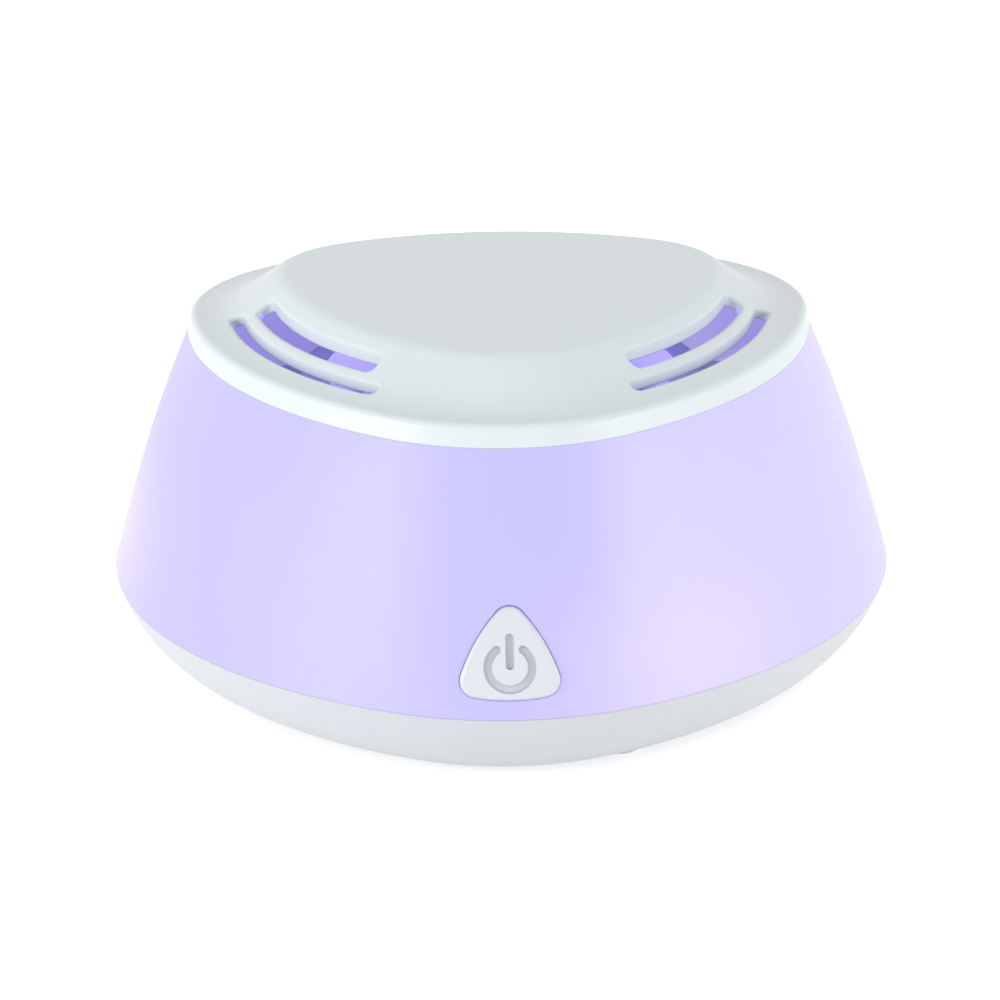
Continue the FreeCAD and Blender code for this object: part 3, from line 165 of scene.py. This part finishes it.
# Glow at the corners, at the middle of the left and right sides, and nearest the lamps
CORNER_GLOW = (0.265, 0.23, 0.60)
LEFT_GLOW = (0.25, 0.215, 0.60)
RIGHT_GLOW = (0.345, 0.305, 0.64)
LAMP_GLOW = (0.41, 0.325, 0.64)
# Directions round the axis, in degrees: the middle of one side, and one of the three lamps
SIDE_HEADING = -30
LAMP_HEADING = -62
LAMP_LEVEL = SHADE_FOOT + 6 * MM
LAMP_SPREAD = 20 * MM
# Where, along X from the axis, the left glow starts to turn into the right one, and where it has turned
RIGHT_FROM = -30 * MM
RIGHT_BY = 45 * MM
# Height of the wave round the axis, 0 at a corner and 1 at a side's middle, where the corner's glow ends
CORNER_END = 0.28


def around(tree, peak):
    """1 in three directions round the axis, 120 degrees apart from peak, and 0 half-way between.

    The position from the axis comes with it, as its parts.
    """
    local = add_node(tree, "ShaderNodeVectorMath", {0: place(tree), 1: tuple(AXIS)},
                     operation="SUBTRACT").outputs[0]
    parts = add_node(tree, "ShaderNodeSeparateXYZ", {0: local}).outputs
    turn = maths(tree, "ARCTAN2", parts["Y"], parts["X"])
    from_peak = maths(tree, "SUBTRACT", turn, math.radians(peak))
    wave = maths(tree, "COSINE", maths(tree, "MULTIPLY", from_peak, 3.0))
    return spread(tree, maths(tree, "MULTIPLY_ADD", wave, 0.5), 0.0, 1.0), parts


def smooth_step(tree, value, low, high):
    """0 at low, 1 at high, with a smooth rise between them."""
    return add_node(tree, "ShaderNodeMapRange", {"Value": value, "From Min": low, "From Max": high},
                    interpolation_type="SMOOTHSTEP").outputs["Result"]


def make_shade_material():
    """Frosted plastic lit from behind: bluer at the corners, pinker where the lamps are nearest."""
    material, tree, shader = new_material("shade_glow")
    sides, local = around(tree, SIDE_HEADING)
    lamps = around(tree, LAMP_HEADING)[0]
    rightward = smooth_step(tree, local["X"], RIGHT_FROM, RIGHT_BY)
    side_glow = blend_colours(tree, rightward, LEFT_GLOW, RIGHT_GLOW)
    glow = blend_colours(tree, smooth_step(tree, sides, 0.0, CORNER_END), CORNER_GLOW, side_glow)
    away = maths(tree, "ABSOLUTE", maths(tree, "SUBTRACT", local["Z"], LAMP_LEVEL))
    near = smooth_step(tree, away, LAMP_SPREAD, 0.0)
    spot = maths(tree, "MULTIPLY", near, maths(tree, "POWER", lamps, 4.0))
    cloud = spread(tree, grain(tree, 28.0, 2.0), 0.6, 1.2)
    glow = blend_colours(tree, maths(tree, "MULTIPLY", spot, cloud), glow, LAMP_GLOW)
    tree.links.new(glow, shader.inputs["Emission Color"])
    shader.inputs["Emission Strength"].default_value = 1.0
    tint = blend_colours(tree, grain(tree, 50.0), (0.21, 0.21, 0.23), (0.23, 0.23, 0.25))
    tree.links.new(tint, shader.inputs["Base Color"])
    tree.links.new(spread(tree, grain(tree, 500.0), 0.42, 0.52), shader.inputs["Roughness"])
    surface(tree, shader, 0.3 * MM, 3000.0, 0.015 * MM)
    return material


# ---------------------------------------------------------------- the power button

# The engraved power sign: how far its centre is below the button's, its reach, and the highest
# level of its floor along the button's own axis
SYMBOL_DROP = 0.9 * MM
SYMBOL_REACH = 4.95 * MM
SYMBOL_FLOOR = 0.15 * MM


def make_button_material():
    """Satin white cap; the floor of the engraved symbol is painted a darker, more lavender grey: painted
    shade of the recess, with a painted lavender glow from the lit shade.
    """
    material, tree, shader = new_material("button_cap")
    outward = -PRESS
    slope = outward.cross(Vector((1, 0, 0)))
    ring_centre = BUTTON_FACE - slope * SYMBOL_DROP
    from_centre = add_node(tree, "ShaderNodeVectorMath", {0: place(tree), 1: tuple(ring_centre)},
                           operation="SUBTRACT").outputs[0]
    level = add_node(tree, "ShaderNodeVectorMath", {0: from_centre, 1: tuple(outward)},
                     operation="DOT_PRODUCT").outputs["Value"]
    away = add_node(tree, "ShaderNodeVectorMath", {0: from_centre}, operation="LENGTH").outputs["Value"]
    # Mask of the symbol's floor, which gets a darker, more lavender colour below: painted shade in the
    # recess with a painted lavender glow
    symbol_shade_mask = maths(tree, "MULTIPLY", maths(tree, "LESS_THAN", level, SYMBOL_FLOOR),
                     maths(tree, "LESS_THAN", away, SYMBOL_REACH))
    cap = blend_colours(tree, grain(tree, 80.0), (0.505, 0.52, 0.555), (0.525, 0.54, 0.575))
    tree.links.new(blend_colours(tree, symbol_shade_mask, cap, (0.45, 0.455, 0.53)), shader.inputs["Base Color"])
    tree.links.new(spread(tree, grain(tree, 600.0), 0.28, 0.36), shader.inputs["Roughness"])
    surface(tree, shader, 0.3 * MM, 3000.0, 0.01 * MM)
    return material


# ---------------------------------------------------------------- the scent pad

def make_felt_material():
    material, tree, shader = new_material("pressed_felt")
    fibre = grain(tree, 1600.0, 8.0, 0.8)
    tint = blend_colours(tree, fibre, (0.62, 0.60, 0.54), (0.72, 0.70, 0.66))
    tree.links.new(tint, shader.inputs["Base Color"])
    tree.links.new(spread(tree, fibre, 0.85, 1.0), shader.inputs["Roughness"])
    shader.inputs["Sheen Weight"].default_value = 0.6
    shader.inputs["Sheen Roughness"].default_value = 0.5
    bump = add_node(tree, "ShaderNodeBump", {"Height": fibre, "Strength": 0.9, "Distance": 0.25 * MM})
    tree.links.new(bump.outputs["Normal"], shader.inputs["Normal"])
    return material


# The pad's mesh: rings and spokes of a face, and its unevenness
PAD_RINGS = 14
PAD_SPOKES = 96
PAD_INSET = 0.3 * MM
PAD_WOBBLE = 0.25 * MM
PAD_LUMPS = 0.12 * MM
PAD_SINK = 0.15 * MM


def pad_corner(middle, radius, thick, side, ring, spoke):
    """A point of the pad's upper (side 1) or lower (side -1) face."""
    share = ring / PAD_RINGS
    turn = 2 * math.pi * spoke / PAD_SPOKES
    x, y = math.cos(turn), math.sin(turn)
    crown = math.sqrt(max(0.0, 1 - share ** 10))
    wobble = PAD_WOBBLE * noise.noise(Vector((x * 3, y * 3, 4.0)))
    reach = (radius - PAD_INSET + wobble) * share
    lump = PAD_LUMPS * noise.noise(Vector((x, y, 0)) * share * 6)
    height = side * (thick * 0.48 * (0.25 + 0.75 * crown) - PAD_SINK + lump)
    return middle.x + reach * x, middle.y + reach * y, middle.z + height


def make_scent_pad():
    """A pressed felt disc with a crowned face and a slightly uneven, rounded edge."""
    low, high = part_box("scent_pad")
    middle = (low + high) / 2
    radius = (high.x - low.x) / 2
    thick = high.z - low.z
    mesh = bmesh.new()
    rims = []
    for side in (1, -1):
        rows = [[mesh.verts.new((middle.x, middle.y, middle.z + side * thick * 0.46))]]
        for ring in range(1, PAD_RINGS + 1):
            rows.append([mesh.verts.new(pad_corner(middle, radius, thick, side, ring, spoke))
                         for spoke in range(PAD_SPOKES)])
        rims.append(rows[-1])
        for spoke in range(PAD_SPOKES):
            after = (spoke + 1) % PAD_SPOKES
            fan = [rows[0][0], rows[1][spoke], rows[1][after]]
            mesh.faces.new(fan[::side])
            for inner, outer in zip(rows[1:], rows[2:]):
                quad = [inner[spoke], outer[spoke], outer[after], inner[after]]
                mesh.faces.new(quad[::side])
    top, under = rims
    for spoke in range(PAD_SPOKES):
        after = (spoke + 1) % PAD_SPOKES
        mesh.faces.new([top[spoke], under[spoke], under[after], top[after]])
    data = bpy.data.meshes.new("felt_pad")
    mesh.to_mesh(data)
    mesh.free()
    data.shade_smooth()
    pad = bpy.data.objects.new("felt_pad", data)
    bpy.context.scene.collection.objects.link(pad)
    data.materials.append(make_felt_material())
    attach(pad, "tray")
    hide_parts("scent_pad")


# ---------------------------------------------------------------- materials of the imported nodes

def dress(material, *names):
    for name in names:
        data = NODES[name].data
        data.materials.clear()
        data.materials.append(material)


def dress_nodes():
    dress(make_shade_material(), "shade")
    dress(moulded("white_shell", (0.51, 0.56, 0.575), (0.535, 0.585, 0.60)), "lid")
    # The base's white is kept darker than the lid's: painted shade that offsets the light of the glowing
    # floor
    dress(moulded("base_white_painted_shade", (0.45, 0.465, 0.49), (0.47, 0.485, 0.51)), "base_shell")
    dress(make_button_material(), "power_button")
    # The white inner parts are tinted lavender: painted glow of the lamps on them
    dress(moulded("inner_white", (0.50, 0.49, 0.58), (0.53, 0.52, 0.61), (0.45, 0.6)),
          "mid_deck", "pad_tray", "air_duct", "button_frame")
    dress(moulded("inner_grey", (0.20, 0.21, 0.23), (0.26, 0.27, 0.29), (0.5, 0.65)),
          "cell_saddle_right", "cell_saddle_left", "switch_plunger")
    dress(moulded("fan_black", (0.012, 0.012, 0.014), (0.03, 0.03, 0.034), (0.45, 0.6),
                  (1200.0, 0.05 * MM)), "fan_frame", "fan_impeller")
    dress(moulded("solder_mask", (0.01, 0.09, 0.035), (0.015, 0.13, 0.05), (0.25, 0.35)),
          "main_board", "button_board", "light_strip_right", "light_strip_back", "light_strip_left")
    dress(moulded("moulded_epoxy", (0.012, 0.012, 0.013), (0.03, 0.03, 0.03), (0.5, 0.65)),
          "controller_chip", "power_coil", "tact_switch", "inlet_tongue")
    dress(moulded("cell_sleeve", (0.02, 0.10, 0.26), (0.03, 0.14, 0.33), (0.2, 0.3)),
          "battery_cell_right", "battery_cell_left")
    dress(moulded("lamp_lens", (0.85, 0.80, 1.0), (0.95, 0.92, 1.0), (0.15, 0.25)), "lamps")
    dress(moulded("soft_foot", (0.42, 0.44, 0.48), (0.50, 0.52, 0.56), (0.6, 0.75), (1800.0, 0.06 * MM)),
          "foot_pads")
    dress(moulded("grey_lead", (0.08, 0.08, 0.09), (0.12, 0.12, 0.13), (0.4, 0.5)), "button_wires")
    dress(moulded("red_lead", (0.35, 0.02, 0.02), (0.45, 0.03, 0.03), (0.4, 0.5)),
          "fan_wires", "battery_wires")
    dress(metal("turned_steel", (0.42, 0.42, 0.44), (0.62, 0.62, 0.64)), "fan_shaft", "stator_core")
    dress(metal("plated_screw", (0.48, 0.49, 0.52), (0.66, 0.67, 0.70)), "deck_screws", "fan_screws")
    dress(metal("nickel_shell", (0.60, 0.59, 0.57), (0.74, 0.73, 0.70), (0.15, 0.28)),
          "power_inlet", "capacitor", "battery_tabs")
    dress(metal("sintered_bronze", (0.36, 0.22, 0.10), (0.50, 0.32, 0.15), (0.4, 0.55)), "fan_bearing")
    dress(metal("wound_copper", (0.45, 0.15, 0.06), (0.68, 0.27, 0.12), (0.25, 0.4)), "stator_windings")
    dress(metal("ferrite", (0.06, 0.06, 0.07), (0.10, 0.10, 0.11), (0.5, 0.65)), "fan_magnet")


# ---------------------------------------------------------------- stage, lights and camera

# What the studio lights face, and how wide they are, in metres
LIGHT_TARGET = Vector((0, 0, 0.03))
LIGHT_SIZE = 0.7


def soft_light(name, spot, power):
    data = bpy.data.lights.new(name, "AREA")
    data.shape = "DISK"
    data.size = LIGHT_SIZE
    data.energy = power
    light = bpy.data.objects.new(name, data)
    light.location = spot
    light.rotation_euler = (LIGHT_TARGET - Vector(spot)).to_track_quat("-Z", "Y").to_euler()
    light.visible_camera = False
    bpy.context.scene.collection.objects.link(light)


def make_inside_light():
    """Light of the strips, after the shade and the lid have spread it."""
    data = bpy.data.lights.new("inside_glow", "POINT")
    data.energy = 0.06
    data.color = (0.40, 0.34, 1.0)
    data.shadow_soft_size = 14 * MM
    light = bpy.data.objects.new(data.name, data)
    light.location = AXIS + Vector((0, 0, 48 * MM))
    light.visible_camera = False
    bpy.context.scene.collection.objects.link(light)


def make_stage():
    """A pale floor with a little glow of its own, a white surround, and a light on each side."""
    bpy.ops.mesh.primitive_plane_add(size=6.0, location=(0, 0, 0))
    floor = bpy.context.object
    floor.name = "floor"
    material, tree, shader = new_material("pale_floor")
    tint = blend_colours(tree, grain(tree, 3.0), (0.71, 0.71, 0.71), (0.73, 0.73, 0.73))
    tree.links.new(tint, shader.inputs["Base Color"])
    shader.inputs["Emission Color"].default_value = (1.0, 1.0, 1.0, 1.0)
    shader.inputs["Emission Strength"].default_value = 0.5
    shader.inputs["Roughness"].default_value = 0.9
    shader.inputs["Specular IOR Level"].default_value = 0.1
    floor.data.materials.append(material)
    world = bpy.data.worlds.new("studio")
    world.use_nodes = True
    world.node_tree.nodes["Background"].inputs["Color"].default_value = (1.0, 1.0, 1.0, 1.0)
    world.node_tree.nodes["Background"].inputs["Strength"].default_value = 1.0
    bpy.context.scene.world = world
    soft_light("key", (-1.1, -0.6, 0.3), 9.0)
    soft_light("fill", (1.1, -0.5, 0.2), 6.0)


def make_camera():
    """A long lens a little above the lid, looking at the front corner."""
    distance = 0.663
    elevation = math.radians(19.3)
    heading = math.radians(0.9)
    roll = math.radians(-0.56)
    target = AXIS + Vector((0, 0, 23.7 * MM))
    data = bpy.data.cameras.new("camera")
    data.sensor_width = 36.0
    data.lens = 149.8
    data.shift_x = -0.0015
    data.clip_start = 0.01
    camera = bpy.data.objects.new("camera", data)
    flat = distance * math.cos(elevation)
    camera.location = target + Vector((-flat * math.sin(heading), -flat * math.cos(heading),
                                       distance * math.sin(elevation)))
    aim = (target - camera.location).to_track_quat("-Z", "Y").to_matrix().to_4x4()
    camera.rotation_euler = (aim @ Matrix.Rotation(roll, 4, "Z")).to_euler()
    bpy.context.scene.collection.objects.link(camera)
    bpy.context.scene.camera = camera
    bpy.context.scene.view_settings.view_transform = "Standard"


dress_nodes()
make_scent_pad()
make_stage()
make_inside_light()
make_camera()
